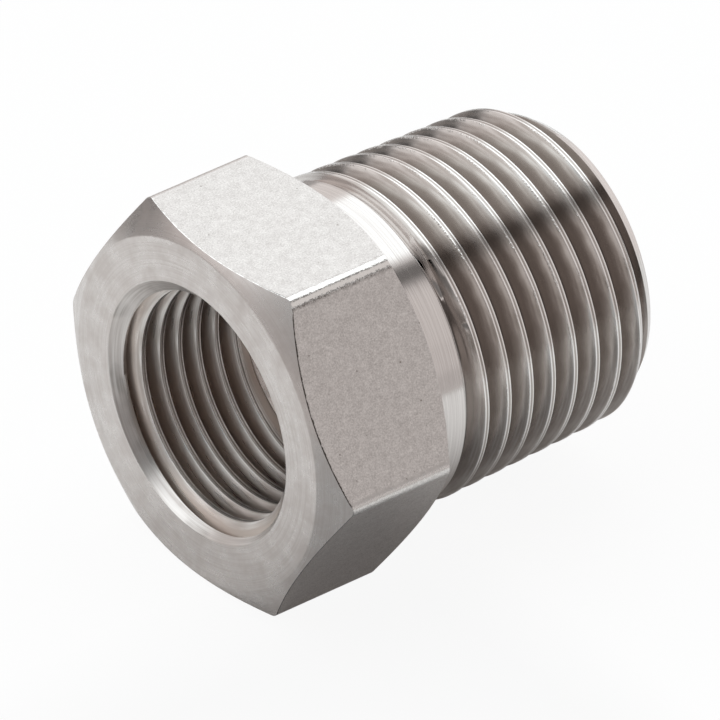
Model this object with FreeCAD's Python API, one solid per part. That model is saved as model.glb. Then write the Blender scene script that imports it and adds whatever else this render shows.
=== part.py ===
import FreeCAD, Part
import math
import os

os.makedirs("parts", exist_ok=True)

# Hex reducing bushing, one turned and milled piece of stainless steel.
# Millimetres. X runs along the bushing, from the hex head to the male thread's end.
# It lies on one flat of the hex: the floor is Z = 0 and the axis is over Y = 0.
# A station is a distance along the axis, measured from the hex face.

# Hex head
hex_across_flats = 23.8
hex_length = 10.0
hex_corner_radius = 0.6
front_face_radius = 11.55
front_chamfer_angle = 30.0
rear_face_radius = 11.7
rear_chamfer_angle = 31.0

# Collar, and the relief groove that the threading tool starts in
collar_radius = 10.7
collar_length = 2.57
relief_radius = 10.0
relief_width = 0.93
relief_wall_run = 0.3

# Both threads taper by 1 in 16 on the diameter and have a 60 degree form
taper = 1.0 / 32.0
thread_angle = 60.0

# Male taper thread, 1/2 in size, 14 turns to the inch, right-hand
male_length = 15.1
male_pitch = 25.4 / 14.0
male_end_radius = 10.44
male_crest_flat = 0.35
end_chamfer_length = 1.7
end_chamfer_depth = 1.25

# The thread groove's centre crosses the underside at this station.
groove_start = 11.85
# The cutter stands this far proud of the crests, so that it leaves no skin.
groove_clear = 0.12

# Female taper thread, 3/8 in size, 18 turns to the inch: its wall at the crests
female_minor_radius = 7.56
female_length = 9.6
mouth_radius = 8.66
mouth_chamfer_angle = 45.0

# Plain way through the rest of the bushing
way_radius = 7.2
way_chamfer = 0.4

# Stations and heights that follow from the sizes
relief_start = hex_length + collar_length
male_start = relief_start + relief_width
end_face = male_start + male_length
inside_hex = hex_length / 2.0
axis_height = hex_across_flats / 2.0
middle = end_face / 2.0

ORIGIN = FreeCAD.Vector(0, 0, 0)
ALONG_X = FreeCAD.Vector(1, 0, 0)
ALONG_Y = FreeCAD.Vector(0, 1, 0)


def male_crest(station):
    """Radius of the male thread's crests at a station."""
    return male_end_radius + (end_face - station) * taper


def female_crest(station):
    """Radius of the female thread's crests at a station."""
    return female_minor_radius - station * taper


def turned(outline):
    """Solid of revolution about X, from (station, radius) corners."""
    corners = [FreeCAD.Vector(station, 0, radius) for station, radius in outline]
    face = Part.Face(Part.makePolygon(corners + corners[:1]))
    return face.revolve(ORIGIN, ALONG_X, 360)


def hex_bar():
    """Length of hexagonal bar with rounded corners and two flats level."""
    corner = hex_across_flats / math.sqrt(3.0)
    points = []
    for index in range(6):
        turn = math.radians(60.0 * index)
        points.append(FreeCAD.Vector(0, corner * math.cos(turn), corner * math.sin(turn)))
    face = Part.Face(Part.makePolygon(points + points[:1]))
    bar = face.extrude(ALONG_X * hex_length)
    long_edges = []
    for edge in bar.Edges:
        near, far = [vertex.Point for vertex in edge.Vertexes]
        if abs(near.x - far.x) > hex_length / 2.0:
            long_edges.append(edge)
    return bar.makeFillet(hex_corner_radius, long_edges)


def chamfer_envelope():
    """Turned envelope that chamfers both ends of the hex."""
    front_slope = math.tan(math.radians(front_chamfer_angle))
    rear_slope = math.tan(math.radians(rear_chamfer_angle))
    # The two cones meet outside the hex, where they cut nothing.
    meet_radius = hex_length + front_face_radius * front_slope + rear_face_radius * rear_slope
    meet_radius = meet_radius / (front_slope + rear_slope)
    meet_station = (meet_radius - front_face_radius) * front_slope
    return turned([(0, 0), (0, front_face_radius), (meet_station, meet_radius),
                   (hex_length, rear_face_radius), (hex_length, 0)])


def hex_head():
    """Hex head with both ends chamfered."""
    return hex_bar().common(chamfer_envelope())


def collar():
    """Plain collar behind the hex, ending in the relief groove's near wall."""
    wall_end = relief_start + relief_wall_run
    return turned([(inside_hex, 0), (inside_hex, collar_radius), (relief_start, collar_radius),
                   (wall_end, relief_radius), (wall_end, 0)])


def thread_blank():
    """Tapered blank of the male thread, from the relief groove's floor to the end chamfer."""
    chamfer_start = end_face - end_chamfer_length
    end_radius = male_end_radius - end_chamfer_depth
    return turned([(relief_start, 0), (relief_start, relief_radius),
                   (male_start - relief_wall_run, relief_radius), (male_start, male_crest(male_start)),
                   (chamfer_start, male_crest(chamfer_start)), (end_face, end_radius), (end_face, 0)])


def groove_helix(station, radius, turns):
    """Right-hand conical helix about X, one edge to a turn, that starts at the underside."""
    half_cone = math.degrees(math.atan(taper))
    helix = Part.makeLongHelix(male_pitch, male_pitch * turns, radius, -half_cone)
    helix.rotate(ORIGIN, ALONG_Y, 90)
    helix.translate(ALONG_X * station)
    return helix


def thread_groove():
    """Cutter of the male thread: a sharp vee, ruled between three helices."""
    slope = math.tan(math.radians(thread_angle / 2.0))
    half_width = (male_pitch - male_crest_flat) / 2.0
    half_top = half_width + groove_clear * slope
    top = male_crest(groove_start) + groove_clear
    root = male_crest(groove_start) - half_width / slope
    turns = math.ceil((end_face + male_pitch - groove_start) / male_pitch)
    helices = [groove_helix(groove_start - half_top, top, turns),
               groove_helix(groove_start, root, turns),
               groove_helix(groove_start + half_top, top, turns)]
    faces = []
    for helix, next_helix in zip(helices, helices[1:] + helices[:1]):
        for edge, next_edge in zip(helix.Edges, next_helix.Edges):
            faces.append(Part.makeRuledSurface(edge, next_edge))
    for end in (0, -1):
        corners = [helix.Edges[end].Vertexes[end].Point for helix in helices]
        faces.append(Part.Face(Part.makePolygon(corners + corners[:1])))
    shell = Part.makeShell(faces)
    shell.sewShape()
    return Part.makeSolid(shell)


def male_thread():
    """Male taper thread with its helical groove cut."""
    return thread_blank().cut(thread_groove())


def bore():
    """Countersunk mouth, female thread's wall and plain way, as one turned cutter."""
    slope = math.tan(math.radians(mouth_chamfer_angle))
    past = 1.0
    # Station where the countersink meets the thread's wall
    mouth_depth = (mouth_radius - female_minor_radius) / (slope - taper)
    return turned([(-past, 0), (-past, mouth_radius + past * slope), (mouth_depth, female_crest(mouth_depth)),
                   (female_length, female_crest(female_length)), (female_length, way_radius),
                   (end_face - way_chamfer, way_radius), (end_face + past, way_radius + way_chamfer + past),
                   (end_face + past, 0)])


def hex_bushing():
    """The whole bushing, moved so that it lies on a flat over the origin."""
    body = hex_head().fuse([collar(), male_thread()]).cut(bore())
    body = body.removeSplitter()
    body.translate(FreeCAD.Vector(-middle, 0, axis_height))
    return body.Solids[0]


bushing = hex_bushing()
print("valid", bushing.isValid(), "closed", bushing.isClosed(), "volume mm3", round(bushing.Volume, 1))
bushing.exportStep("parts/hex_bushing.step")
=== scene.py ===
# %% [markdown]
# # A hex reducing bushing in stainless steel
#
# The real one is turned from one length of hexagonal bar. It has a hex head with an inside taper
# thread, a short plain collar, a relief groove and an outside taper thread. The CAD model gives
# the place and the size. Its mesh is coarse and its inside thread is a plain cone, so this script
# builds one fine skin over the same sizes and lets it stand for the CAD node.

# %% Load the frame
import math
from types import SimpleNamespace
import bmesh
import bpy
from mathutils import Matrix, Vector


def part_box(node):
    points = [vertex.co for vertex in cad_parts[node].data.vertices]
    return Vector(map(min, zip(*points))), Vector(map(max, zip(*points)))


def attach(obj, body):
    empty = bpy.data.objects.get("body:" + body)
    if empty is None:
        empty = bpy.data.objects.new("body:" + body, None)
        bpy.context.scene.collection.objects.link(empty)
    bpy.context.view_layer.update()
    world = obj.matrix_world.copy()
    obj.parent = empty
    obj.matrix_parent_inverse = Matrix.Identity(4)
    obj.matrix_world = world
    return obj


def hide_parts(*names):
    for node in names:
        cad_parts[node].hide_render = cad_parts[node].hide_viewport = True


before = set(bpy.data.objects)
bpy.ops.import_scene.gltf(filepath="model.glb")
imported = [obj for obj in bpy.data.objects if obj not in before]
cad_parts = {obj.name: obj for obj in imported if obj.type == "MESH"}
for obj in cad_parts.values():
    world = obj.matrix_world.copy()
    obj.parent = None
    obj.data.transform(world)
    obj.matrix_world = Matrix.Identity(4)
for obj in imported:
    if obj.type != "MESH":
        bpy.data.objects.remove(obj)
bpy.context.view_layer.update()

# %% [markdown]
# ## Sizes
#
# The frame gives the length, the hex across its flats and the height of the axis. The rest are
# the maker's sizes of the same part. They could be measured on the CAD mesh, but a named size
# says what it is. A station is a distance along the axis from the hex face.

# %% Sizes of the hex and the bore in metres
MM = 0.001
INCH = 25.4 * MM
low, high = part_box("hex_bushing")
length = high[0] - low[0]
across_flats = high[2] - low[2]
axis_height = across_flats / 2.0
middle = length / 2.0

hex_length = 10.0 * MM
corner_radius = 0.6 * MM
front_face_radius = 11.55 * MM
front_slope = math.tan(math.radians(30.0))
rear_face_radius = 11.7 * MM
rear_slope = math.tan(math.radians(31.0))
mouth_radius = 8.66 * MM
way_radius = 7.2 * MM
way_chamfer = 0.4 * MM
print("length", round(length / MM, 3), "mm, across flats", round(across_flats / MM, 3), "mm")

# %% Sizes of the collar and the two threads
collar_radius = 10.7 * MM
collar_end = 12.57 * MM
relief_radius = 10.0 * MM
taper = 1.0 / 32.0

male_start = 13.2 * MM
male_end_radius = 10.44 * MM
male_pitch = 25.4 / 14.0 * MM
male_groove_at_zero = 11.85 * MM + male_pitch / 4.0
end_chamfer_length = 1.7 * MM
end_chamfer_depth = 1.25 * MM

female_end = 9.6 * MM
female_mouth_radius = 7.56 * MM
female_pitch = 25.4 / 18.0 * MM
female_groove_at_zero = 2.6 * MM
print("turns to the inch", round(INCH / male_pitch, 2), "outside,", round(INCH / female_pitch, 2), "inside")

# %% [markdown]
# ## Columns round the axis
#
# A closed skin needs rings that join without a seam. The tidy way would be even columns, but the
# hex has small rounded corners that even columns would miss. So every ring, on the threads too,
# has the same uneven ones: a few close together at each of the six corners, and the rest spread
# over the flats. An angle is counted in turns, from +Y towards +Z, which puts a corner at zero.

# %% The hex's outline about the axis
sixth = math.pi / 3.0


def corner_reach():
    """Half the angle that a rounded corner covers, and the distance of its centre from the axis."""
    centre = (across_flats / 2.0 - corner_radius) / math.cos(sixth / 2.0)
    side = corner_radius * math.sin(sixth / 2.0)
    return math.atan2(side, centre + corner_radius * math.cos(sixth / 2.0)), centre


def hex_radius(angle):
    """Distance from the axis to the side of the hex at an angle in radians."""
    reach, centre = corner_reach()
    off_corner = abs((angle + sixth / 2.0) % sixth - sixth / 2.0)
    if off_corner < reach:
        across = centre * math.sin(off_corner)
        return centre * math.cos(off_corner) + math.sqrt(corner_radius ** 2 - across ** 2)
    return across_flats / 2.0 / math.cos(sixth / 2.0 - off_corner)


print("over the corners", round(hex_radius(0.0) * 2.0 / MM, 2), "mm")

# %% Angles of the columns
CORNER_STEPS = 5
FLAT_STEPS = 35


def column_turns():
    """The columns' angles in turns, from 0 to 1, both ends included."""
    reach = corner_reach()[0] / math.tau
    turns = []
    for sector in range(6):
        start = sector / 6.0
        for step in range(CORNER_STEPS):
            turns.append(start - reach + 2.0 * reach * step / CORNER_STEPS)
        for step in range(FLAT_STEPS):
            turns.append(start + reach + (1.0 / 6.0 - 2.0 * reach) * step / FLAT_STEPS)
    turns = sorted(turn % 1.0 for turn in turns)
    return [0.0] + turns + [1.0]


columns = column_turns()
print("columns", len(columns))

# %% [markdown]
# ## One helper for every node
#
# Materials, the sky and the geometry tree are all made of nodes. Each could be added in four or
# five lines, but one small function says the same in one: the kind of node, the values for the
# inputs that it shows, in their order, and its settings. A value is a number, a colour, a socket,
# or another node, which then gives its first output. A Noise node so takes its place, scale, detail
# and roughness, a Map Range its value and the two ends of the old and the new range, a Mix its
# share and the two things mixed, and a Bump its strength and its depth in metres.

# %% Add a node
MATH = "ShaderNodeMath"
RANGE = "ShaderNodeMapRange"
MIX = "ShaderNodeMix"
NOISE = "ShaderNodeTexNoise"
VECTOR = "ShaderNodeCombineXYZ"
BUMP = "ShaderNodeBump"


def add_node(tree, kind, *values, links=None, **settings):
    """Adds a node with its settings. Values go to the inputs that show, links to those they name."""
    made = tree.nodes.new(kind)
    for name, value in settings.items():
        setattr(made, name, value)
    shown = [socket for socket in made.inputs if socket.enabled]
    named = [(made.inputs[name], value) for name, value in (links or {}).items()]
    for socket, value in [*zip(shown, values), *named]:
        if isinstance(value, bpy.types.Node):
            value = next(output for output in value.outputs if output.enabled)
        if isinstance(value, bpy.types.NodeSocket):
            tree.links.new(value, socket)
        else:
            socket.default_value = value
    return made


# %% [markdown]
# ## The screw thread, rolled from a flat sheet
#
# A thread follows one rule: the groove moves along the axis by one pitch in each turn, and its
# radius shrinks with the taper. A Screw modifier can wind a section round an axis, but it can't
# taper it, let it fade in and out, or end it square. So the sheet below starts flat, with the
# angle in turns along X and the distance in pitches along Y, and a geometry tree rolls it up.
# The same tree makes both threads: the inside one has its groove cut outwards.

# %% A flat sheet of rows and columns


def thread_rows(first, last, half):
    """Rows in pitches, from the places in half a pitch, set either side of each groove's centre."""
    phases = sorted({round(value % 1.0, 5) for place in half for value in (place, -place)})
    rows = sorted(turn + phase for turn in range(first - 1, last + 2) for phase in phases)
    return [row for row in rows if first <= row <= last]


def flat_sheet(name, rows):
    """Grid with the columns' turns along X and the rows' pitches along Y."""
    mesh = bpy.data.meshes.new(name)
    points = [(turn, row, 0.0) for row in rows for turn in columns]
    wide = len(columns)
    faces = []
    for r in range(len(rows) - 1):
        for c in range(wide - 1):
            corner = r * wide + c
            faces.append((corner, corner + 1, corner + wide + 1, corner + wide))
    mesh.from_pydata(points, [], faces)
    sheet = bpy.data.objects.new(name, mesh)
    bpy.context.scene.collection.objects.link(sheet)
    return sheet


# %% A tree with named sizes
thread_tree = bpy.data.node_groups.new("rolled taper thread", "GeometryNodeTree")
# The two run-in and the two run-out places are in turns, the slopes are plain numbers, the rest in metres
THREAD_SIZES = ["Pitch", "Groove at zero", "Start", "End", "Radius at hex face", "Taper", "Half width",
                "Depth", "Flank slope", "Side", "Cone radius", "Cone slope", "Run in at", "Run in length",
                "Run out at", "Run out length", "Edge radius", "Nick width", "Nick depth", "Middle",
                "Axis height"]
thread_inputs = {"Geometry": "NodeSocketGeometry", **dict.fromkeys(THREAD_SIZES, "NodeSocketFloat"),
                 "Material": "NodeSocketMaterial"}
for label, socket_type in thread_inputs.items():
    thread_tree.interface.new_socket(label, in_out="INPUT", socket_type=socket_type)
thread_tree.interface.new_socket("Geometry", in_out="OUTPUT", socket_type="NodeSocketGeometry")
given = add_node(thread_tree, "NodeGroupInput").outputs
print("thread inputs", len(thread_inputs))

# %% [markdown]
# The tree first moves each point along by its angle, so that every row becomes a helix, and holds
# it between the two ends of the thread, which squares them off. Then it measures how far the
# point is from the nearest groove.

# %% Where a point lies
tree = thread_tree
flat = add_node(tree, "ShaderNodeSeparateXYZ", add_node(tree, "GeometryNodeInputPosition")).outputs
turn, row = flat[0], flat[1]
wanted = add_node(tree, MATH, turn, row, operation="ADD")
wanted = add_node(tree, MATH, wanted, given["Pitch"], given["Groove at zero"], operation="MULTIPLY_ADD")
held = add_node(tree, MATH, wanted, given["Start"], operation="MAXIMUM")
held = add_node(tree, MATH, held, given["End"], operation="MINIMUM")
lead = add_node(tree, MATH, held, given["Groove at zero"], operation="SUBTRACT")
lead = add_node(tree, MATH, lead, given["Pitch"], operation="DIVIDE")
phase = add_node(tree, MATH, lead, turn, operation="SUBTRACT")
nearest = add_node(tree, MATH, phase, operation="ROUND")
distance = add_node(tree, MATH, phase, nearest, operation="SUBTRACT")
distance = add_node(tree, MATH, distance, operation="ABSOLUTE")
distance = add_node(tree, MATH, distance, given["Pitch"], operation="MULTIPLY")
print("thread tree nodes", len(tree.nodes))

# %% [markdown]
# A lathe tool is eased into the bar at the start of a thread, and a tap gets no further than its
# last teeth. The groove grows and shrinks over a part of a turn for that. It widens sooner than it
# deepens, because a groove as deep as it is wide would look like a slit there.

# %% Depth of the groove at a point
travelled = add_node(tree, MATH, nearest, turn, operation="ADD")
going_in = add_node(tree, MATH, travelled, given["Run in at"], operation="SUBTRACT")
going_in = add_node(tree, MATH, going_in, given["Run in length"], operation="DIVIDE", use_clamp=True)
coming_out = add_node(tree, MATH, given["Run out at"], travelled, operation="SUBTRACT")
coming_out = add_node(tree, MATH, coming_out, given["Run out length"], operation="DIVIDE", use_clamp=True)
share = add_node(tree, MATH, going_in, coming_out, operation="MULTIPLY")
# A vee with a small flat at its root and softened edges
width_left = add_node(tree, MATH, given["Half width"], share, operation="MULTIPLY")
width_left = add_node(tree, MATH, width_left, distance, operation="SUBTRACT")
vee = add_node(tree, MATH, width_left, given["Flank slope"], operation="DIVIDE")
vee = add_node(tree, MATH, vee, 0.0, given["Edge radius"], operation="SMOOTH_MAX")
deepest = add_node(tree, MATH, share, 2.5, operation="POWER")
deepest = add_node(tree, MATH, given["Depth"], deepest, operation="MULTIPLY")
depth = add_node(tree, MATH, vee, deepest, given["Edge radius"], operation="SMOOTH_MIN")
depth = add_node(tree, MATH, depth, 0.0, operation="MAXIMUM")
# A hair-fine nick runs along the middle of each crest, between the burrs that the tool raised
off_crest = add_node(tree, MATH, given["Pitch"], 0.5, operation="MULTIPLY")
off_crest = add_node(tree, MATH, off_crest, distance, operation="SUBTRACT")
nick = add_node(tree, MATH, off_crest, given["Nick width"], operation="DIVIDE")
nick = add_node(tree, MATH, 1.0, nick, operation="SUBTRACT", use_clamp=True)
depth = add_node(tree, MATH, nick, given["Nick depth"], depth, operation="MULTIPLY_ADD")
print("thread tree nodes", len(tree.nodes))

# %% [markdown]
# The crests follow the taper. Side is -1 on the outside thread and 1 on the inside one, and turns
# the sum round: the groove and the cone at the thread's end both cut into the metal. At last the
# angle and the radius become a place in space.

# %% Radius of a point, and rolling up
crest = add_node(tree, MATH, given["Taper"], -1.0, operation="MULTIPLY")
crest = add_node(tree, MATH, held, crest, given["Radius at hex face"], operation="MULTIPLY_ADD")
cut = add_node(tree, MATH, depth, given["Side"], crest, operation="MULTIPLY_ADD")
cut = add_node(tree, MATH, cut, given["Side"], operation="MULTIPLY")
cone = add_node(tree, MATH, held, given["Cone slope"], given["Cone radius"], operation="MULTIPLY_ADD")
cone = add_node(tree, MATH, cone, given["Side"], operation="MULTIPLY")
radius = add_node(tree, MATH, cut, cone, operation="MAXIMUM")
radius = add_node(tree, MATH, radius, given["Side"], operation="MULTIPLY")
angle = add_node(tree, MATH, turn, math.tau, operation="MULTIPLY")
along = add_node(tree, MATH, held, given["Middle"], operation="SUBTRACT")
across = add_node(tree, MATH, radius, add_node(tree, MATH, angle, operation="COSINE"), operation="MULTIPLY")
up = add_node(tree, MATH, angle, operation="SINE")
up = add_node(tree, MATH, radius, up, given["Axis height"], operation="MULTIPLY_ADD")
rolled_up = add_node(tree, "GeometryNodeSetPosition", given["Geometry"],
                     links={"Position": add_node(tree, VECTOR, along, across, up)})
whole = add_node(tree, "GeometryNodeRealizeInstances", rolled_up)
finished = add_node(tree, "GeometryNodeSetMaterial", whole, links={"Material": given["Material"]})
add_node(tree, "NodeGroupOutput", finished)
print("thread tree nodes", len(tree.nodes))

# %% [markdown]
# ## Colours
#
# Colours are written as the sRGB values that a picture shows. Blender works with linear light,
# so one function turns them.

# %% Colour helper


def linear(hex_colour):
    """Turns an sRGB hex colour into linear light with an alpha of one."""
    parts = [int(hex_colour[i:i + 2], 16) / 255.0 for i in (1, 3, 5)]
    lit = [p / 12.92 if p <= 0.04045 else ((p + 0.055) / 1.055) ** 2.4 for p in parts]
    return (*lit, 1.0)


print("mid grey in linear light", [round(part, 3) for part in linear("#808080")])

# %% [markdown]
# ## Stainless steel, as the tools left it
#
# All surfaces are one metal, austenitic stainless steel, a slightly warm grey. What differs is how
# each was cut, and that is what the eye reads. One material with masks could hold all of it, but
# six short ones are easier to match: turned, countersunk, thread-cut, tapped, faced and drawn.
# A metal has no colour of its own beside its reflections, so each finish is bare metal at the
# default IOR, with its roughness, its grain direction and fine relief on top.

# %% The bare metal


def new_steel(name):
    """Empty material, and its tree of nodes."""
    made = bpy.data.materials.new(name)
    made.use_nodes = True
    made.node_tree.nodes.clear()
    return made, made.node_tree


def bare_metal(tree, streakiness, colour, roughness, relief, grain=None):
    """The metal itself. Streakiness spreads its highlights along the grain's direction."""
    looks = {"Metallic": 1.0, "Anisotropic": streakiness, "Base Color": colour, "Roughness": roughness,
             "Normal": relief}
    if grain is not None:
        looks["Tangent"] = grain
    shader = add_node(tree, "ShaderNodeBsdfPrincipled", links=looks)
    add_node(tree, "ShaderNodeOutputMaterial", shader)


# %% [markdown]
# ## Rings about the axis
#
# A lathe tool leaves rings: they go round the axis, and change fast along it and outwards. An
# image could hold them, but noise stretched round the axis does it at any size. The place across
# and up is divided by a long spread and the place along by a fine width. Three times the station
# plus the radius is used as the place along, because it never stands still: on the flat face only
# the radius changes, on the bore only the station, and on a 45 degree countersink their plain sum
# would stay the same. Real rings are about 0.05 mm apart, too fine to show in the render, so they
# are drawn 0.1 to 0.27 mm wide. Noise stays near one half, so a range of it starts and ends there.

# %% Places and rings about the axis


def axis_places(tree):
    """A point's place in metres, with its parts about the axis."""
    place = add_node(tree, "ShaderNodeTexCoord").outputs["Object"]
    parts = add_node(tree, "ShaderNodeSeparateXYZ", place).outputs
    up = add_node(tree, MATH, parts[2], axis_height, operation="SUBTRACT")
    outward = add_node(tree, VECTOR, 0.0, parts[1], up)
    radius = add_node(tree, "ShaderNodeVectorMath", outward, operation="LENGTH")
    return SimpleNamespace(place=place, along=parts[0], across=parts[1], up=up, outward=outward,
                           radius=radius)


def lathe_rings(tree, at, ring_width, spread):
    """Noise stretched into rings about the axis. Both sizes are in metres."""
    steep = add_node(tree, MATH, at.along, 3.0, at.radius, operation="MULTIPLY_ADD")
    fine = add_node(tree, MATH, steep, ring_width, operation="DIVIDE")
    side = add_node(tree, MATH, at.across, spread, operation="DIVIDE")
    rise = add_node(tree, MATH, at.up, spread, operation="DIVIDE")
    return add_node(tree, NOISE, add_node(tree, VECTOR, fine, side, rise), 1.0, 1.0, 0.6)


# %% [markdown]
# ## Turned and countersunk steel
#
# The collar, the relief groove, the way and the chamfers were turned with a sharp tool: fairly
# bright, with light that streaks across the rings. The countersink was cut with a wide tool that
# chattered, so its rings are rougher and deeper, and cutting oil has left dull smudges a few
# millimetres wide along them.

# %% Turned steel


def turned_steel(name, ring_width, ring_depth, smooth, rough, dull_colour, smudges):
    """Rings between a bright and a dull colour, with smudges by a share from 0 to 1."""
    made, tree = new_steel(name)
    at = axis_places(tree)
    rings = lathe_rings(tree, at, ring_width, 6.0 * MM)
    dull = add_node(tree, RANGE, rings, 0.35, 0.65, 0.0, 1.0)
    colour = add_node(tree, MIX, dull, linear("#DAD5D2"), linear(dull_colour), data_type="RGBA")
    smudge = add_node(tree, NOISE, at.place, 1.0 / (2.6 * MM), 2.0)
    smudge = add_node(tree, RANGE, smudge, 0.56, 0.7, 0.0, smudges)
    in_rings = add_node(tree, RANGE, rings, 0.4, 0.6, 0.4, 1.0)
    smudge = add_node(tree, MATH, smudge, in_rings, operation="MULTIPLY")
    colour = add_node(tree, MIX, smudge, colour, linear("#6E6762"), data_type="RGBA")
    roughness = add_node(tree, RANGE, rings, 0.3, 0.7, smooth, rough)
    relief = add_node(tree, BUMP, 0.25, ring_depth, links={"Height": rings})
    bare_metal(tree, 0.6, colour, roughness, relief, add_node(tree, VECTOR, 1.0, 0.0, 0.0))
    return made


turned = turned_steel("turned stainless steel", 0.27 * MM, 0.002 * MM, 0.1, 0.22, "#CDC7C4", 0.0)
sunk = turned_steel("countersunk stainless steel", 0.2 * MM, 0.012 * MM, 0.3, 0.44, "#C6BFBB", 0.4)
print("finishes", turned.name, "and", sunk.name)

# %% [markdown]
# ## Thread-cut and tapped steel
#
# A single-point tool cut the outside thread and a tap the inside one. Their marks follow the
# helix, so the materials work out how far across a groove each point lies, as the geometry tree
# does. The flanks carry fine chatter lines, 16 to a pitch, and wider streaks, 7 to a pitch. The
# lower half of the groove is painted darker, a painted shade. The crests are what catches the eye:
# a dull middle between two painted highlights along the edges, with torn burrs like small beads,
# 0.16 mm wide, in runs of a few millimetres along the edge next to the hex, with a painted glint.

# %% Lines along a helix
CHATTER_LINES = 16.0
STREAK_LINES = 7.0


def groove_phase(tree, at, pitch, groove_at_zero):
    """Place across a thread from 0 to 1: the groove's centre is at 0 and the crest's at 0.5."""
    angle = add_node(tree, MATH, at.up, at.across, operation="ARCTAN2")
    turn = add_node(tree, MATH, angle, math.tau, operation="DIVIDE")
    lead = add_node(tree, MATH, at.along, groove_at_zero - middle, operation="SUBTRACT")
    lead = add_node(tree, MATH, lead, pitch, operation="DIVIDE")
    return add_node(tree, MATH, add_node(tree, MATH, lead, turn, operation="SUBTRACT"), operation="FRACT")


def helix_lines(tree, at, phase, lines, spread):
    """Noise stretched along the helix, with so many lines to a pitch. The spread is in metres."""
    fine = add_node(tree, MATH, phase, lines, operation="MULTIPLY")
    side = add_node(tree, MATH, at.across, spread, operation="DIVIDE")
    rise = add_node(tree, MATH, at.up, spread, operation="DIVIDE")
    return add_node(tree, NOISE, add_node(tree, VECTOR, fine, side, rise), 1.0, 1.0, 0.6)


print("chatter lines", round(male_pitch / CHATTER_LINES / MM, 3), "mm apart on the outside thread")

# %% Colour and burrs of a thread


def flank_colour(tree, phase, rings, streaks, root_shade_colour):
    """Bright flanks with chatter lines, and painted shade in the lower half of the groove."""
    dull = add_node(tree, RANGE, rings, 0.35, 0.65, 0.0, 1.0)
    bright = add_node(tree, MIX, dull, linear("#DCD8D5"), linear("#BAB3AE"), data_type="RGBA")
    # Painted shade: the flank is darker from the groove's root to nearly half way up, with uneven streaks.
    from_root = add_node(tree, MATH, phase, add_node(tree, MATH, 1.0, phase, operation="SUBTRACT"),
                         operation="MINIMUM")
    uneven = add_node(tree, MATH, streaks, 0.16, operation="MULTIPLY")
    root_shade = add_node(tree, MATH, from_root, uneven, operation="ADD")
    root_shade = add_node(tree, RANGE, root_shade, 0.26, 0.46, 1.0, 0.0)
    return add_node(tree, MIX, root_shade, bright, linear(root_shade_colour), data_type="RGBA")


def crest_colour(tree, phase, colour):
    """Lays the crest over the flanks: a dull middle, then a painted highlight along either edge."""
    off_crest = add_node(tree, MATH, phase, 0.5, operation="SUBTRACT")
    off_crest = add_node(tree, MATH, off_crest, operation="ABSOLUTE")
    dull = add_node(tree, RANGE, off_crest, 0.022, 0.042, 0.75, 0.0)
    colour = add_node(tree, MIX, dull, colour, linear("#9A928D"), data_type="RGBA")
    # Painted highlight: a bright line along either edge of the crest.
    edge_starts = add_node(tree, RANGE, off_crest, 0.045, 0.055, 0.0, 1.0)
    edge_ends = add_node(tree, RANGE, off_crest, 0.09, 0.1, 0.8, 0.0)
    edges = add_node(tree, MATH, edge_starts, edge_ends, operation="MULTIPLY")
    return add_node(tree, MIX, edges, colour, linear("#F4F1EF"), data_type="RGBA")


def torn_burrs(tree, at, phase, crest_edge, torn_share):
    """Beads of torn metal along one edge of the crest, in runs with clean stretches between them. The mask
    gives both their relief and their painted glint.
    """
    off_edge = add_node(tree, MATH, phase, crest_edge, operation="SUBTRACT")
    off_edge = add_node(tree, MATH, off_edge, operation="ABSOLUTE")
    at_edge = add_node(tree, RANGE, off_edge, 0.012, 0.035, 1.0, 0.0)
    runs = add_node(tree, RANGE, add_node(tree, NOISE, at.place, 1.0 / (2.2 * MM), 2.0), 0.48, 0.6, 0.0, 1.0)
    beads = add_node(tree, NOISE, at.place, 1.0 / (0.16 * MM), 1.0)
    beads = add_node(tree, RANGE, beads, 0.45, 0.6, 0.0, torn_share)
    burrs_and_glints = add_node(tree, MATH, at_edge, runs, operation="MULTIPLY")
    return add_node(tree, MATH, burrs_and_glints, beads, operation="MULTIPLY")


# %% Steel with a thread cut in it


def thread_steel(name, pitch, groove_at_zero, crest_edge, torn_share, smooth, rough, root_shade_colour):
    """Crests with painted highlights, torn burrs with painted glints, and flanks with faint chatter lines
    and painted shade towards the root.
    """
    made, tree = new_steel(name)
    at = axis_places(tree)
    phase = groove_phase(tree, at, pitch, groove_at_zero)
    rings = helix_lines(tree, at, phase, CHATTER_LINES, 3.0 * MM)
    streaks = helix_lines(tree, at, phase, STREAK_LINES, 1.2 * MM)
    burrs_and_glints = torn_burrs(tree, at, phase, crest_edge, torn_share)
    colour = crest_colour(tree, phase, flank_colour(tree, phase, rings, streaks, root_shade_colour))
    # Painted glint: the burrs are painted near white.
    colour = add_node(tree, MIX, burrs_and_glints, colour, linear("#F2F0EE"), data_type="RGBA")
    roughness = add_node(tree, RANGE, rings, 0.3, 0.7, smooth, rough)
    chatter = add_node(tree, BUMP, 0.25, 0.004 * MM, links={"Height": rings})
    relief = add_node(tree, BUMP, 0.8, 0.03 * MM, links={"Height": burrs_and_glints, "Normal": chatter})
    bare_metal(tree, 0.35, colour, roughness, relief, add_node(tree, VECTOR, 1.0, 0.0, 0.0))
    return made


threaded = thread_steel("thread-cut stainless steel", male_pitch, male_groove_at_zero, 0.408, 0.65,
                        0.15, 0.26, "#A29A95")
tapped = thread_steel("tapped stainless steel", female_pitch, female_groove_at_zero, 0.39, 0.1,
                      0.26, 0.42, "#C2B6AE")
print("finishes", threaded.name, "and", tapped.name)

# %% [markdown]
# ## Faced steel
#
# The front face and its chamfer were faced on the lathe and then handled: fine rings that show
# only where the light rakes them, and faint stains a millimetre or two wide. The grain's direction
# points outwards from the axis, so the highlight fans out as it does on a record.

# %% Faced steel for the front face


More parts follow.
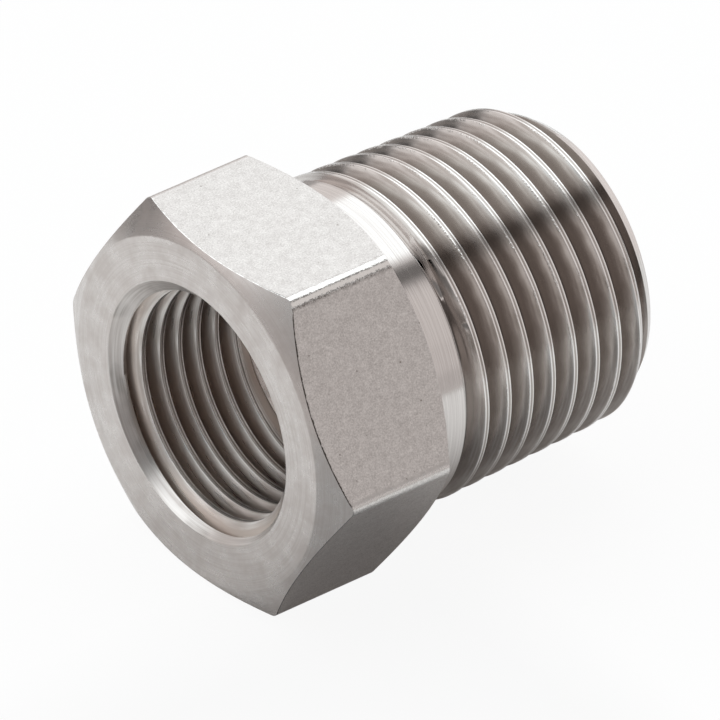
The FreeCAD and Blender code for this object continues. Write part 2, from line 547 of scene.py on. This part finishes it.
def faced_steel():
    """Fine rings and faint stains, and light that streaks outwards."""
    made, tree = new_steel("faced stainless steel")
    at = axis_places(tree)
    rings = lathe_rings(tree, at, 0.1 * MM, 8.0 * MM)
    stains = add_node(tree, NOISE, at.place, 1.0 / (1.4 * MM), 4.0, 0.65)
    stains = add_node(tree, MATH, stains, 0.8, operation="MULTIPLY")
    both = add_node(tree, MATH, rings, 0.45, stains, operation="MULTIPLY_ADD")
    dull = add_node(tree, RANGE, both, 0.5, 0.75, 0.0, 1.0)
    colour = add_node(tree, MIX, dull, linear("#D4CECB"), linear("#C6BEBA"), data_type="RGBA")
    roughness = add_node(tree, RANGE, both, 0.5, 0.8, 0.26, 0.36)
    relief = add_node(tree, BUMP, 0.2, 0.003 * MM, links={"Height": rings})
    bare_metal(tree, 0.4, colour, roughness, relief, at.outward)
    return made


faced = faced_steel()
print("finish", faced.name)

# %% [markdown]
# ## Drawn steel
#
# The flats keep the skin of the bar, drawn through a die and pickled in acid: matt, with a fine
# grain, a mottle about 0.5 mm wide and a few pits 0.8 mm apart. A real grain is some 0.02 mm wide,
# too fine to show in the render, so it is drawn 0.1 mm wide. The chamfering tool tore a dark lip
# where it met the flats, drawn on the near side, with a painted highlight along it on the top flat.
# The corners, which rub against everything, are shinier and dented, with a painted highlight above
# a ragged line and dark teeth below it, a painted reflection of the sky's dark gap. These could be
# modelled, but they are a tenth of a millimetre deep at most, so they are painted, with noise
# moving their edges.

# %% Lip along the chamfer
mottle_reach = 0.24 * MM
grain_reach = 0.14 * MM
print("the lip wanders by", round((mottle_reach + grain_reach) / 2.0 / MM, 2), "mm either way")


def from_chamfer(tree, at, mottle, grain):
    """Ragged distance of a point from the line where the front chamfer meets the flats."""
    rise = add_node(tree, MATH, at.radius, front_face_radius, operation="SUBTRACT")
    rise = add_node(tree, MATH, rise, front_slope, operation="MULTIPLY")
    off_line = add_node(tree, MATH, at.along, rise, operation="SUBTRACT")
    off_line = add_node(tree, MATH, off_line, middle - mottle_reach / 2.0, operation="ADD")
    off_line = add_node(tree, MATH, mottle, mottle_reach, off_line, operation="MULTIPLY_ADD")
    off_line = add_node(tree, MATH, off_line, -grain_reach / 2.0, operation="ADD")
    off_line = add_node(tree, MATH, grain, grain_reach, off_line, operation="MULTIPLY_ADD")
    return add_node(tree, MATH, off_line, operation="ABSOLUTE")


def lip_colour(tree, at, mottle, grain, colour):
    """Lays the lip over the skin: dark on the near side of the hex, and a painted highlight along it on the
    top flat.
    """
    off_line = from_chamfer(tree, at, mottle, grain)
    dark = add_node(tree, RANGE, off_line, 0.065 * MM, 0.12 * MM, 1.0, 0.0)
    near_side = add_node(tree, RANGE, at.across, -4.0 * MM, -6.0 * MM, 0.0, 1.0)
    dark = add_node(tree, MATH, dark, near_side, operation="MULTIPLY")
    colour = add_node(tree, MIX, dark, colour, linear("#45403C"), data_type="RGBA")
    # Painted highlight: a bright line along the chamfer's edge, on the top flat only.
    bright = add_node(tree, RANGE, off_line, 0.03 * MM, 0.06 * MM, 1.0, 0.0)
    top_flat = add_node(tree, RANGE, at.up, 11.0 * MM, 11.4 * MM, 0.0, 1.0)
    bright = add_node(tree, MATH, bright, top_flat, operation="MULTIPLY")
    return add_node(tree, MIX, bright, colour, linear("#F3F1EF"), data_type="RGBA")


# %% Corners of the hex


def rubbed_and_highlight_corners(tree, at, ragged):
    """Painted highlight above a ragged line, most of all on the upper corners of the near side. The same
    mask makes the corners shinier and dented.
    """
    rubbed_and_highlight = add_node(tree, RANGE, ragged, 13.68 * MM, 13.73 * MM, 0.0, 1.0)
    near_side = add_node(tree, RANGE, at.across, -2.0 * MM, 0.0, 1.0, 0.15)
    rubbed_and_highlight = add_node(tree, MATH, rubbed_and_highlight, near_side, operation="MULTIPLY")
    upper = add_node(tree, RANGE, at.up, 0.0, 2.0 * MM, 0.4, 1.0)
    return add_node(tree, MATH, rubbed_and_highlight, upper, operation="MULTIPLY")


def dark_reflection_teeth(tree, at, ragged, grain):
    """Short dark teeth below the ragged line, on the upper near corners: a painted reflection of the sky's
    dark gap.
    """
    reflection_teeth = add_node(tree, RANGE, ragged, 13.56 * MM, 13.62 * MM, 0.0, 1.0)
    gaps = add_node(tree, RANGE, grain, 0.44, 0.56, 1.0, 0.0)
    reflection_teeth = add_node(tree, MATH, reflection_teeth, gaps, operation="MULTIPLY")
    near_side = add_node(tree, MATH, at.across, -1.0, operation="MULTIPLY")
    near_side = add_node(tree, RANGE, near_side, 6.6 * MM, 7.0 * MM, 0.0, 1.0)
    reflection_teeth = add_node(tree, MATH, reflection_teeth, near_side, operation="MULTIPLY")
    upper = add_node(tree, RANGE, at.up, 0.0, 2.0 * MM, 0.0, 0.75)
    return add_node(tree, MATH, reflection_teeth, upper, operation="MULTIPLY")


# %% Drawn steel for the flats


def drawn_steel():
    """Matt and finely grained, with pits, a torn lip and rubbed corners."""
    made, tree = new_steel("drawn stainless steel")
    at = axis_places(tree)
    mottle = add_node(tree, NOISE, at.place, 1.0 / (0.5 * MM), 3.0, 0.7)
    grain = add_node(tree, NOISE, at.place, 1.0 / (0.1 * MM), 2.0, 0.7)
    both = add_node(tree, MATH, mottle, 0.5, operation="MULTIPLY")
    both = add_node(tree, MATH, grain, 1.2, both, operation="MULTIPLY_ADD")
    dull = add_node(tree, RANGE, both, 0.6, 1.1, 0.0, 1.0)
    colour = add_node(tree, MIX, dull, linear("#D9D4D1"), linear("#B5AFAC"), data_type="RGBA")
    pits = add_node(tree, "ShaderNodeTexVoronoi", at.place, 1.0 / (0.8 * MM))
    pits = add_node(tree, RANGE, pits, 0.06, 0.1, 1.0, 0.0)
    few = add_node(tree, RANGE, mottle, 0.5, 0.56, 0.0, 1.0)
    pits = add_node(tree, MATH, pits, few, operation="MULTIPLY")
    colour = add_node(tree, MIX, pits, colour, linear("#8F8882"), data_type="RGBA")
    colour = lip_colour(tree, at, mottle, grain, colour)
    ragged = add_node(tree, MATH, grain, 0.22 * MM, at.radius, operation="MULTIPLY_ADD")
    ragged = add_node(tree, MATH, mottle, 0.15 * MM, ragged, operation="MULTIPLY_ADD")
    # Painted reflection: dark teeth below the ragged line on the corners.
    reflection_teeth = dark_reflection_teeth(tree, at, ragged, grain)
    colour = add_node(tree, MIX, reflection_teeth, colour, linear("#5E5854"), data_type="RGBA")
    # Painted highlight on the rubbed corners, which are also shinier and dented.
    rubbed_and_highlight = rubbed_and_highlight_corners(tree, at, ragged)
    colour = add_node(tree, MIX, rubbed_and_highlight, colour, linear("#E2DFDC"), data_type="RGBA")
    matt = add_node(tree, RANGE, both, 0.6, 1.1, 0.3, 0.42)
    roughness = add_node(tree, MATH, rubbed_and_highlight, -0.2, matt, operation="MULTIPLY_ADD")
    # The rubbed corners are also dented, a few grains deep
    dents = add_node(tree, MATH, rubbed_and_highlight, mottle, operation="MULTIPLY")
    dents = add_node(tree, MATH, dents, 9.0, grain, operation="MULTIPLY_ADD")
    relief = add_node(tree, BUMP, 0.6, 0.008 * MM, links={"Height": dents})
    bare_metal(tree, 0.0, colour, roughness, relief)
    return made


drawn = drawn_steel()
print("finish", drawn.name)

# %% [markdown]
# ## Rolling up the two threads
#
# The outside thread has 14 turns to the inch and the inside one 18, both with a 60 degree form.
# Even rows would round off the crests, so the rows sit close together where the section bends:
# at the groove's root, at the crest's edge and beside the nick. A size is set on the modifier by
# its socket's identifier, because two sockets may have the same name.

# %% Roll a sheet and take its mesh


def rolled(name, rows, sizes, material):
    """Rolls a flat sheet with the thread tree and returns the finished mesh."""
    sheet = flat_sheet(name, rows)
    modifier = sheet.modifiers.new("roll", "NODES")
    modifier.node_group = thread_tree
    settings = {**sizes, "Material": material}
    for item in thread_tree.interface.items_tree:
        if item.in_out == "INPUT" and item.name in settings:
            modifier[item.identifier] = settings[item.name]
    done = sheet.evaluated_get(bpy.context.evaluated_depsgraph_get())
    mesh = bpy.data.meshes.new_from_object(done)
    sheet.modifiers.clear()
    bpy.data.objects.remove(sheet)
    print(name, "faces", len(mesh.polygons))
    return mesh


# %% Outside thread
NEVER = 1.0e6
male_crest_flat = 0.32 * MM
chamfer_slope = -(end_chamfer_depth - end_chamfer_length * taper) / end_chamfer_length
chamfer_at_hex_face = male_end_radius - end_chamfer_depth - length * chamfer_slope

male_sizes = {
    "Pitch": male_pitch, "Groove at zero": male_groove_at_zero, "Start": male_start, "End": length,
    "Radius at hex face": male_end_radius + length * taper, "Taper": taper,
    "Half width": (male_pitch - male_crest_flat) / 2.0, "Depth": 1.18 * MM,
    "Flank slope": math.tan(math.radians(30.0)), "Side": -1.0,
    "Cone radius": chamfer_at_hex_face, "Cone slope": chamfer_slope,
    "Run in at": 0.22, "Run in length": 0.2, "Run out at": NEVER, "Run out length": 1.0,
    "Edge radius": 0.02 * MM, "Nick width": 0.035 * MM, "Nick depth": 0.012 * MM,
    "Middle": middle, "Axis height": axis_height}
male_half = [0.0, 0.022, 0.045, 0.07, 0.2, 0.38, 0.4, 0.412, 0.425, 0.45, 0.472, 0.486, 0.5]
male_mesh = rolled("outside_thread", thread_rows(-1, 10, male_half), male_sizes, threaded)

# %% Inside thread
female_sizes = {
    **male_sizes, "Pitch": female_pitch, "Groove at zero": female_groove_at_zero, "Start": 0.0,
    "End": female_end, "Radius at hex face": female_mouth_radius, "Half width": 0.55 * MM,
    "Depth": 0.95 * MM, "Side": 1.0, "Cone radius": mouth_radius, "Cone slope": -1.0,
    "Run in at": -NEVER, "Run out at": 4.7, "Run out length": 0.5, "Edge radius": 0.03 * MM,
    "Nick width": 0.04 * MM, "Nick depth": 0.015 * MM}
female_half = [0.0, 0.03, 0.06, 0.2, 0.35, 0.375, 0.39, 0.405, 0.44, 0.472, 0.5]
female_mesh = rolled("inside_thread", thread_rows(-3, 8, female_half), female_sizes, tapped)

# %% [markdown]
# ## One closed skin
#
# The two threads are open tubes. A boolean of simple solids could join them, but it leaves
# slivers along the helix. So the rest of the bushing is grown between their ends, ring by ring,
# on the same columns. Outside, it goes from the start of the outside thread back over the relief
# groove, the collar and the hex to the front face. Inside, it goes from the end face through the
# plain way to the end of the inside thread.

# %% Rings on the columns
steels = [threaded, tapped, turned, drawn, faced, sunk]
THREADED, TAPPED, TURNED, DRAWN, FACED, SUNK = range(6)
print("finishes", [steel.name for steel in steels])


def ring_of_vertices(skin, station, radius):
    """New vertices on every column. The station and the radius may each depend on the angle."""
    made = []
    for turn in columns[:-1]:
        angle = turn * math.tau
        far = radius(angle) if callable(radius) else radius
        place = station(angle) if callable(station) else station
        across, up = far * math.cos(angle), axis_height + far * math.sin(angle)
        made.append(skin.verts.new((place - middle, across, up)))
    return made


def join_rings(skin, first, second, finish):
    """Band of quads between two rings."""
    count = len(first)
    for i in range(count):
        j = (i + 1) % count
        band = skin.faces.new((first[i], first[j], second[j], second[i]))
        band.material_index = finish
        band.smooth = True


def grow(skin, loop, steps, last):
    """Bands from an open loop over a list of (station, radius, finish) to the last loop."""
    for station, radius, finish in steps:
        ring = ring_of_vertices(skin, station, radius)
        join_rings(skin, loop, ring, finish)
        loop = ring
    join_rings(skin, loop, last, steps[-1][2])


# %% The two threads in one mesh
between_threads = 9.1 * MM
skin = bmesh.new()
for mesh in (male_mesh, female_mesh):
    skin.from_mesh(mesh)


def place_of(face):
    """Station of a face's middle, and its distance from the axis."""
    spot = face.calc_center_median()
    return spot.x + middle, math.hypot(spot.y, spot.z - axis_height)


def open_loop(skin, station):
    """The open edge of a thread at a station, in the order of the columns."""
    loop = {vertex for edge in skin.edges if edge.is_boundary for vertex in edge.verts
            if abs(vertex.co.x + middle - station) < 0.01 * MM}
    return sorted(loop, key=lambda v: (math.atan2(v.co.z - axis_height, v.co.y) / math.tau + 1.0e-5) % 1.0)


for face in skin.faces:
    station, radius = place_of(face)
    inner = radius < between_threads and station < female_end + 0.1 * MM
    face.material_index = TAPPED if inner else THREADED
bmesh.ops.remove_doubles(skin, verts=skin.verts, dist=0.001 * MM)
male_start_loop, male_end_loop = open_loop(skin, male_start), open_loop(skin, length)
female_start_loop, female_end_loop = open_loop(skin, 0.0), open_loop(skin, female_end)
print("loops", [len(x) for x in (male_start_loop, male_end_loop, female_start_loop, female_end_loop)])

# %% [markdown]
# The hex is chamfered on the lathe at both ends, so each chamfer is a cone that cuts the corners
# deeper than the flats: its edge runs in six arcs. Every corner that a file or a tumbling barrel
# has softened gets two rings close together, which catch a thin line of light. The relief groove
# has a floor that rises a little towards the collar, and steep walls.

# %% Stations of the hex's two chamfers


def front_edge(angle):
    """Station where the front chamfer meets the side of the hex."""
    return (hex_radius(angle) - front_face_radius) * front_slope


def rear_edge(angle):
    """Station where the rear chamfer meets the side of the hex."""
    return hex_length - (hex_radius(angle) - rear_face_radius) * rear_slope


print("front chamfer on a corner", round(front_edge(0.0) / MM, 2), "mm deep")

# %% Grow the outside and the inside
soft = 0.05 * MM
relief_rings = [
    (male_start - 0.2 * MM, relief_radius + 0.3 * MM, TURNED),
    (male_start - 0.25 * MM, relief_radius + 0.36 * MM, TURNED),
    (collar_end + 0.2 * MM, relief_radius + 0.42 * MM, TURNED),
    (collar_end + 0.17 * MM, relief_radius + 0.48 * MM, TURNED),
    (collar_end + 0.06 * MM, relief_radius + 0.5 * MM, TURNED)]
collar_rings = [
    (collar_end + 0.03 * MM, collar_radius - soft * 1.5, TURNED),
    (collar_end - soft, collar_radius, TURNED),
    (hex_length + soft, collar_radius, TURNED)]
hex_rings = [
    (hex_length, collar_radius + soft, TURNED),
    (hex_length, rear_face_radius, TURNED),
    (rear_edge, hex_radius, TURNED),
    (lambda angle: rear_edge(angle) - soft, hex_radius, DRAWN),
    (lambda angle: front_edge(angle) + soft, hex_radius, DRAWN),
    (front_edge, hex_radius, DRAWN),
    (soft * front_slope, front_face_radius + soft, FACED),
    (0.0, front_face_radius - soft, FACED),
    (0.0, mouth_radius + soft, FACED)]
way_rings = [
    (length, way_radius + way_chamfer, TURNED),
    (length - way_chamfer, way_radius, TURNED),
    (female_end, way_radius, TURNED)]
grow(skin, male_start_loop, relief_rings + collar_rings + hex_rings, female_start_loop)
grow(skin, male_end_loop, way_rings, female_end_loop)
print("faces", len(skin.faces), "open edges", sum(edge.is_boundary for edge in skin.edges))

# %% [markdown]
# The countersink and the end chamfer came out of the thread tree as parts of the threads, where
# their cones cut the crests. A face that lies on one of the two cones gets its own finish here.

# %% Finish of the two cones
on_cone = 0.03 * MM
for face in skin.faces:
    station, radius = place_of(face)
    if abs(radius + station - mouth_radius) < on_cone:
        face.material_index = SUNK
    end_cone = chamfer_at_hex_face + station * chamfer_slope
    if abs(radius - end_cone) < on_cone and station > male_start:
        face.material_index = TURNED
bmesh.ops.recalc_face_normals(skin, faces=skin.faces)
print("volume", round(skin.calc_volume() / MM ** 3, 1), "mm3")

# %% Make the object
bushing_mesh = bpy.data.meshes.new("bushing_skin")
skin.to_mesh(bushing_mesh)
skin.free()
for steel in steels:
    bushing_mesh.materials.append(steel)
bushing_mesh.shade_smooth()
bushing_mesh.set_sharp_from_angle(angle=math.radians(38.0))
bushing = bpy.data.objects.new("bushing_skin", bushing_mesh)
bpy.context.scene.collection.objects.link(bushing)
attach(bushing, "root")
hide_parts("hex_bushing")
print("faces", len(bushing_mesh.polygons))

# %% [markdown]
# ## Floor
#
# The bushing lies on one flat, on white paper. The paper has to look white to the camera, and
# bare steel shows whatever it sees, so each kind of ray gets its own share of plain white: nearly
# all for the camera, a little for reflections. The rest is real paper, which carries the shadow.
# A card under the near side could darken the lower flats as in the photograph, but it would show,
# so the paper itself is painted grey there, a soft painted shade, for all but the camera's share.

# %% Floor
FLOOR_HALF = 0.07
corners = [(-FLOOR_HALF, -FLOOR_HALF, 0), (FLOOR_HALF, -FLOOR_HALF, 0), (FLOOR_HALF, FLOOR_HALF, 0),
           (-FLOOR_HALF, FLOOR_HALF, 0)]
floor_mesh = bpy.data.meshes.new("floor")
floor_mesh.from_pydata(corners, [], [(0, 1, 2, 3)])
floor = bpy.data.objects.new("floor", floor_mesh)
bpy.context.scene.collection.objects.link(floor)
print("floor", FLOOR_HALF * 2.0, "m wide")

# %% White paper
WHITE = linear("#FFFFFF")
CAMERA_SHARE = 0.92
REFLECTED_SHARE = 0.05
paper = bpy.data.materials.new("white paper")
paper.use_nodes = True
tree = paper.node_tree
tree.nodes.clear()
spot = add_node(tree, "ShaderNodeTexCoord").outputs["Object"]
spot = add_node(tree, "ShaderNodeSeparateXYZ", spot).outputs
# Painted shade: the paper turns grey on the near side under the hex.
near_side = add_node(tree, RANGE, spot[1], -11.0 * MM, -2.0 * MM, 1.0, 0.0)
under_hex = add_node(tree, RANGE, spot[0], -4.0 * MM, 2.0 * MM, 1.0, 0.0)
painted_floor_shade = add_node(tree, MATH, near_side, under_hex, operation="MULTIPLY")
colour = add_node(tree, MIX, painted_floor_shade, linear("#F9F8F7"), linear("#B4B4B4"), data_type="RGBA")
plain = add_node(tree, "ShaderNodeBsdfDiffuse", colour)
glow = add_node(tree, "ShaderNodeEmission", WHITE, 1.0)
rays = add_node(tree, "ShaderNodeLightPath").outputs
share = add_node(tree, MATH, rays["Is Camera Ray"], CAMERA_SHARE, operation="MULTIPLY")
share = add_node(tree, MATH, rays["Is Glossy Ray"], REFLECTED_SHARE, share, operation="MULTIPLY_ADD")
share = add_node(tree, MATH, share, rays["Is Transmission Ray"], operation="MAXIMUM")
add_node(tree, "ShaderNodeOutputMaterial", add_node(tree, "ShaderNodeMixShader", share, plain, glow))
floor_mesh.materials.append(paper)
print("floor finish", paper.name)

# %% [markdown]
# ## Sky
#
# Polished metal shows what is around it, so the light is the picture on the steel. Lamps and cards
# could stand about the bushing, but it is simpler to paint the studio on the sky by direction. The
# main angle is counted about the bushing's axis, from +Y over the top to -Y: a pale left wall, a
# large bright soft box overhead, a dark gap beside it, a right wall and a low one. These make the
# long bands of light on the thread's flanks. What lies along the axis is set apart.

# %% A new sky and its directions
sky = bpy.data.worlds.new("studio")
sky.use_nodes = True
bpy.context.scene.world = sky
tree = sky.node_tree
tree.nodes.clear()
toward = add_node(tree, "ShaderNodeTexCoord").outputs["Generated"]
axes = add_node(tree, "ShaderNodeSeparateXYZ", toward).outputs
around = add_node(tree, MATH, axes[2], axes[1], operation="ARCTAN2")


def soft_band(value, start, end, edge):
    """One between two angles in degrees and zero outside them, with soft edges."""
    start, end, edge = (angle * math.radians(1.0) for angle in (start, end, edge))
    rising = add_node(tree, RANGE, value, start - edge, start, 0.0, 1.0)
    falling = add_node(tree, RANGE, value, end, end + edge, 1.0, 0.0)
    return add_node(tree, MATH, rising, falling, operation="MULTIPLY")


# %% Bands of light round the axis
ROOM = 0.6
soft_box = soft_band(around, 34.0, 94.0, 6.0)
left_wall, dark_gap = soft_band(around, 0.0, 28.0, 4.0), soft_band(around, 105.0, 111.0, 7.0)
right_wall, low_wall = soft_band(around, 123.0, 152.0, 8.0), soft_band(around, 158.0, 176.0, 6.0)
studio = ROOM
for band, amount in ((left_wall, 0.3), (soft_box, 1.08), (dark_gap, -0.44), (right_wall, 0.18)):
    studio = add_node(tree, MATH, band, amount, studio, operation="MULTIPLY_ADD")
print("sky nodes", len(tree.nodes))

# %% [markdown]
# Along the axis there is more. Towards the thread's end the near side of the room is dark, up to
# where the soft box hangs. The wall that the hex face looks at is plain and dull, which keeps the
# face even. Below the horizon lies the ground, lighter beyond the thread's end. Two dark things
# stand far off, level with the bushing: a doorway, which darkens the flanks of the thread on the
# near side, and a post, which leaves a dark mark on the front chamfer.

# %% What lies along the axis
DARK_SIDE = -0.56
PLAIN_WALL = 0.45
near_half = add_node(tree, RANGE, axes[1], -0.25, 0.05, 1.0, 0.0)
thread_end = add_node(tree, RANGE, axes[0], 0.1, 0.3, 1.0, 0.0)
lower_down = add_node(tree, RANGE, axes[2], 0.75, 0.9, 1.0, 0.0)
near_dark = add_node(tree, MATH, near_half, thread_end, operation="MULTIPLY")
near_dark = add_node(tree, MATH, near_dark, lower_down, operation="MULTIPLY")
studio = add_node(tree, MATH, near_dark, DARK_SIDE, studio, operation="MULTIPLY_ADD")
behind_face = add_node(tree, RANGE, axes[0], -0.95, -0.88, 1.0, 0.0)
studio = add_node(tree, MIX, behind_face, studio, PLAIN_WALL)
studio = add_node(tree, MATH, low_wall, 0.14, studio, operation="MULTIPLY_ADD")
print("sky nodes", len(tree.nodes))

# %% Ground, post and doorway
ground = add_node(tree, RANGE, axes[1], 0.5, 0.8, 0.6, 0.4)
beyond_thread = add_node(tree, RANGE, axes[0], 0.6, 0.8, 0.0, 1.0)
ground = add_node(tree, MATH, beyond_thread, 0.35, ground, operation="MULTIPLY_ADD")
below = add_node(tree, RANGE, axes[2], -0.04, 0.0, 1.0, 0.0)
studio = add_node(tree, MIX, below, studio, ground)
sideways = add_node(tree, MATH, axes[1], axes[0], operation="ARCTAN2")
level = add_node(tree, MATH, axes[2], operation="ABSOLUTE")
level = add_node(tree, RANGE, level, 0.3, 0.45, 1.0, 0.0)
post = add_node(tree, MATH, soft_band(sideways, 114.0, 119.0, 2.5), level, operation="MULTIPLY")
post = add_node(tree, RANGE, post, 0.0, 1.0, 1.0, 0.1)
studio = add_node(tree, MATH, studio, post, operation="MULTIPLY")
doorway = add_node(tree, "ShaderNodeVectorMath", toward, (0.94, -0.34, 0.0), operation="DOT_PRODUCT")
outer_edge, inner_edge = math.cos(math.radians(22.0)), math.cos(math.radians(15.0))
doorway = add_node(tree, RANGE, doorway, outer_edge, inner_edge, 1.0, 0.35)
studio = add_node(tree, MATH, studio, doorway, operation="MULTIPLY")
print("sky nodes", len(tree.nodes))

# %% [markdown]
# The camera sees plain white. Reflections see a small share of that white, and the painted studio
# for the rest. The soft box is a little cooler than the room, which gives the steel its two greys.

# %% White for the camera, the studio for the steel
SEEN_IN_STEEL = 0.03
rays = add_node(tree, "ShaderNodeLightPath").outputs
seen = add_node(tree, MATH, rays["Is Glossy Ray"], SEEN_IN_STEEL, rays["Is Camera Ray"],
                operation="MULTIPLY_ADD")
seen = add_node(tree, MATH, seen, rays["Is Transmission Ray"], operation="MAXIMUM")
strength = add_node(tree, MIX, seen, studio, 1.0)
tint = add_node(tree, MIX, soft_box, linear("#FFFAF8"), linear("#F7FDFF"), data_type="RGBA")
tint = add_node(tree, MIX, seen, tint, WHITE, data_type="RGBA")
add_node(tree, "ShaderNodeOutputWorld", add_node(tree, "ShaderNodeBackground", tint, strength))
print("sky nodes", len(tree.nodes))

# %% [markdown]
# ## Camera
#
# The picture was taken from far off with a long lens, from the hex end, above and to one side.
# Aiming a camera by eye would need many tries. Here its three directions were fitted to the
# corners of the hex and the turned edges, and its place to the middle of the hex face, so it
# stands where the real camera did, and needs no lens shift.

# %% Camera
PHOTO_WIDTH = 720.0
SENSOR_MM = 36.0
# The camera's own three directions
right = Vector((0.77268931, -0.63329097, 0.04351758))
upward = Vector((0.34073824, 0.47162815, 0.81330458))
backward = Vector((-0.53558256, -0.61360365, 0.58020848))
pixels_per_metre = 16348.5
# Where the middle of the hex face shows, in pixels from the middle of the picture
face_right, face_up = -163.535, -53.79
distance = 1.0219
hex_face_centre = Vector((-middle, 0.0, axis_height))
place = (hex_face_centre - right * (face_right / pixels_per_metre) - upward * (face_up / pixels_per_metre)
         + backward * distance)
lens = bpy.data.cameras.new("camera")
lens.sensor_width = SENSOR_MM
lens.lens = pixels_per_metre * distance / PHOTO_WIDTH * SENSOR_MM
lens.clip_start = 0.05
lens.clip_end = 10.0
camera = bpy.data.objects.new("camera", lens)
camera.matrix_world = Matrix.Translation(place) @ Matrix((right, upward, backward)).transposed().to_4x4()
bpy.context.scene.collection.objects.link(camera)
bpy.context.scene.camera = camera
bpy.context.scene.view_settings.view_transform = "Standard"
print("lens", round(lens.lens, 1), "mm, camera at", tuple(round(v, 3) for v in place))

# %% [markdown]
# ## Last update
#
# The view layer is brought up to date once more.

# %% Update the view layer
bpy.context.view_layer.update()
